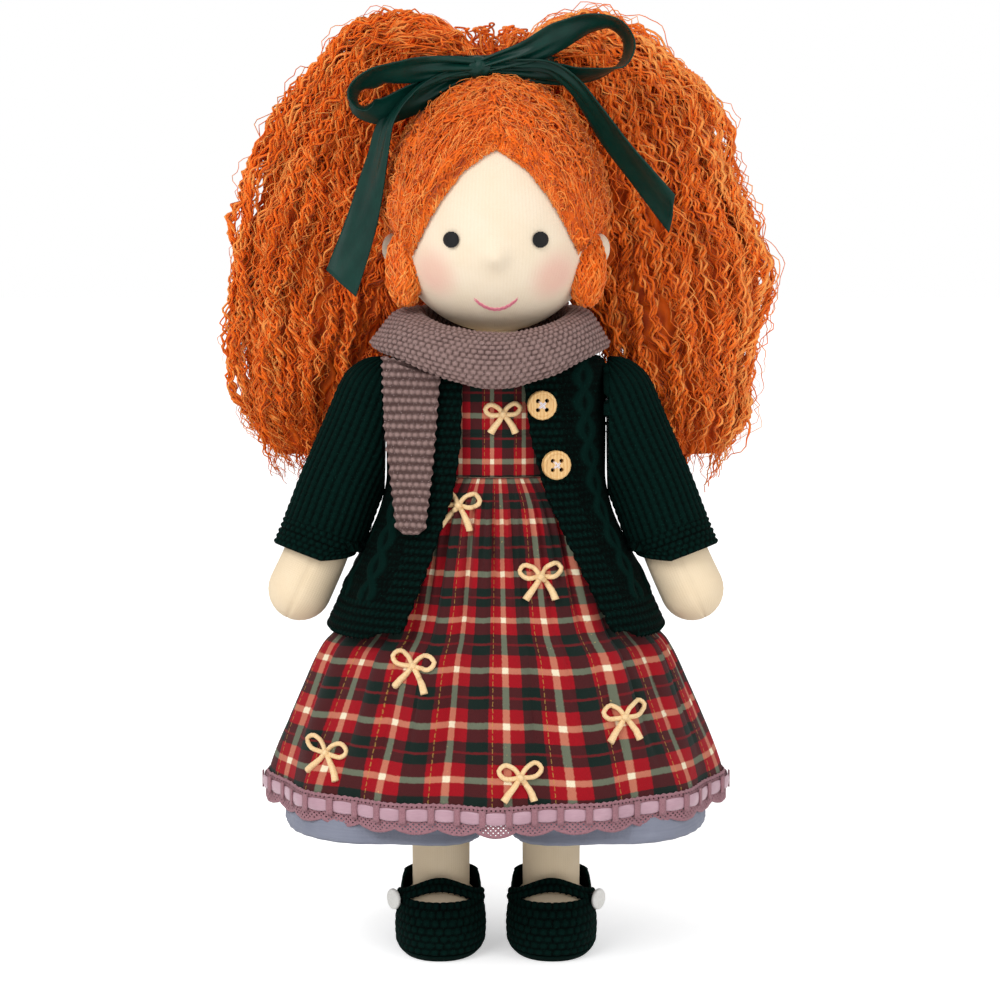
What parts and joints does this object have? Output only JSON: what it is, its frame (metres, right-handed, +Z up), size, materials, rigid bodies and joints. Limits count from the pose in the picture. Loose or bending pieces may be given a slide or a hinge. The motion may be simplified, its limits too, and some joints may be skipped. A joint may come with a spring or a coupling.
{
  "type": "waldorf doll",
  "caption": "Standing cloth doll with a high ribbon-tied ponytail, scarf, open cardigan, tartan dress, bloomers and strap shoes; head, arms, legs, straps and scarf end move.",
  "frame": {"origin": "on the ground, under the middle of the whole doll's box", "axes": "+Z up; the doll faces -Y; +X is the doll's own left, the right side of the picture"},
  "size_m": [0.2226, 0.152, 0.3745],
  "materials": {
    "skin_knit": "fine cotton knit, matt",
    "wool_stuffing": "carded wool, hidden inside",
    "thread": "strong cotton thread",
    "mohair": "crimped mohair yarn, brushed at the cap",
    "satin_ribbon": "satin, soft sheen",
    "scarf_yarn": "garter stitch wool",
    "cardigan_yarn": "cabled wool with ribbed sleeves",
    "tartan_cotton": "printed cotton check",
    "lace_cotton": "cotton lace",
    "trim_satin": "narrow satin ribbon",
    "bloomer_cotton": "thin plain cotton",
    "shoe_yarn": "crochet",
    "button_wood": "waxed pale wood",
    "button_white": "glossy white",
    "eye_thread": "embroidery cotton",
    "mouth_thread": "embroidery cotton"
  },
  "bodies": {
    "torso": {"torso_skin": "skin_knit", "torso_stuffing": "wool_stuffing", "shoulder_thread": "thread", "hip_thread": "thread", "bodice": "tartan_cotton", "skirt": "tartan_cotton", "lace_trim": "lace_cotton", "trim_ribbon": "trim_satin", "bloomers_waist": "bloomer_cotton", "bloomers_leg_left": "bloomer_cotton", "bloomers_leg_right": "bloomer_cotton", "cardigan_back": "cardigan_yarn", "cardigan_front_left": "cardigan_yarn", "cardigan_front_right": "cardigan_yarn", "button_upper": "button_wood", "button_lower": "button_wood", "button_thread_upper": "thread", "button_thread_lower": "thread", "scarf_wrap": "scarf_yarn"},
    "head": {"head_skin": "skin_knit", "head_core": "wool_stuffing", "nose_bead": "wool_stuffing", "eye_left": "eye_thread", "eye_right": "eye_thread", "ear_left": "skin_knit", "ear_right": "skin_knit", "mouth": "mouth_thread", "hair_cap": "mohair", "hair_lock_left": "mohair", "hair_lock_right": "mohair", "ponytail_root": "mohair", "ribbon_band": "satin_ribbon", "hair_bunch_left": "mohair", "hair_bunch_right": "mohair", "hair_back": "mohair", "ribbon_knot": "satin_ribbon", "ribbon_loop_left": "satin_ribbon", "ribbon_loop_right": "satin_ribbon", "ribbon_tail_left": "satin_ribbon", "ribbon_tail_right": "satin_ribbon"},
    "arm_left": {"arm_skin_left": "skin_knit", "arm_stuffing_left": "wool_stuffing", "sleeve_left": "cardigan_yarn"},
    "leg_left": {"leg_skin_left": "skin_knit", "leg_stuffing_left": "wool_stuffing", "shoe_left": "shoe_yarn", "shoe_sole_left": "shoe_yarn"},
    "strap_left": {"shoe_strap_left": "shoe_yarn", "shoe_button_left": "button_white"},
    "arm_right": {"arm_skin_right": "skin_knit", "arm_stuffing_right": "wool_stuffing", "sleeve_right": "cardigan_yarn"},
    "leg_right": {"leg_skin_right": "skin_knit", "leg_stuffing_right": "wool_stuffing", "shoe_right": "shoe_yarn", "shoe_sole_right": "shoe_yarn"},
    "strap_right": {"shoe_strap_right": "shoe_yarn", "shoe_button_right": "button_white"},
    "scarf_tail": {"scarf_tail": "scarf_yarn"}
  },
  "joints": [
    {"name": "head_turn", "type": "hinge", "parent": "torso", "child": "head", "pos_m": [0, 0, 0.246], "axis": [0, 0, 1], "range_deg": [-6, 6]},
    {"name": "arm_left_swing", "type": "hinge", "parent": "torso", "child": "arm_left", "pos_m": [0.045, 0, 0.221], "axis": [-1, 0, 0], "range_deg": [-4, 90]},
    {"name": "leg_left_swing", "type": "hinge", "parent": "torso", "child": "leg_left", "pos_m": [0.0224, 0.004, 0.126], "axis": [-1, 0, 0], "range_deg": [-15, 22]},
    {"name": "strap_left_open", "type": "hinge", "parent": "leg_left", "child": "strap_left", "pos_m": [0.0059, -0.00415, 0.0227], "axis": [0, 0, -1], "range_deg": [0, 40]},
    {"name": "arm_right_swing", "type": "hinge", "parent": "torso", "child": "arm_right", "pos_m": [-0.045, 0, 0.221], "axis": [-1, 0, 0], "range_deg": [-4, 90]},
    {"name": "leg_right_swing", "type": "hinge", "parent": "torso", "child": "leg_right", "pos_m": [-0.0224, 0.004, 0.126], "axis": [-1, 0, 0], "range_deg": [-15, 22]},
    {"name": "strap_right_open", "type": "hinge", "parent": "leg_right", "child": "strap_right", "pos_m": [-0.0059, -0.00415, 0.0227], "axis": [0, 0, 1], "range_deg": [0, 40]},
    {"name": "scarf_tail_lift", "type": "hinge", "parent": "torso", "child": "scarf_tail", "pos_m": [-0.0336, -0.0275, 0.2362], "axis": [-0.9303, 0.2063, 0.3034], "range_deg": [0, 45]}
  ]
}
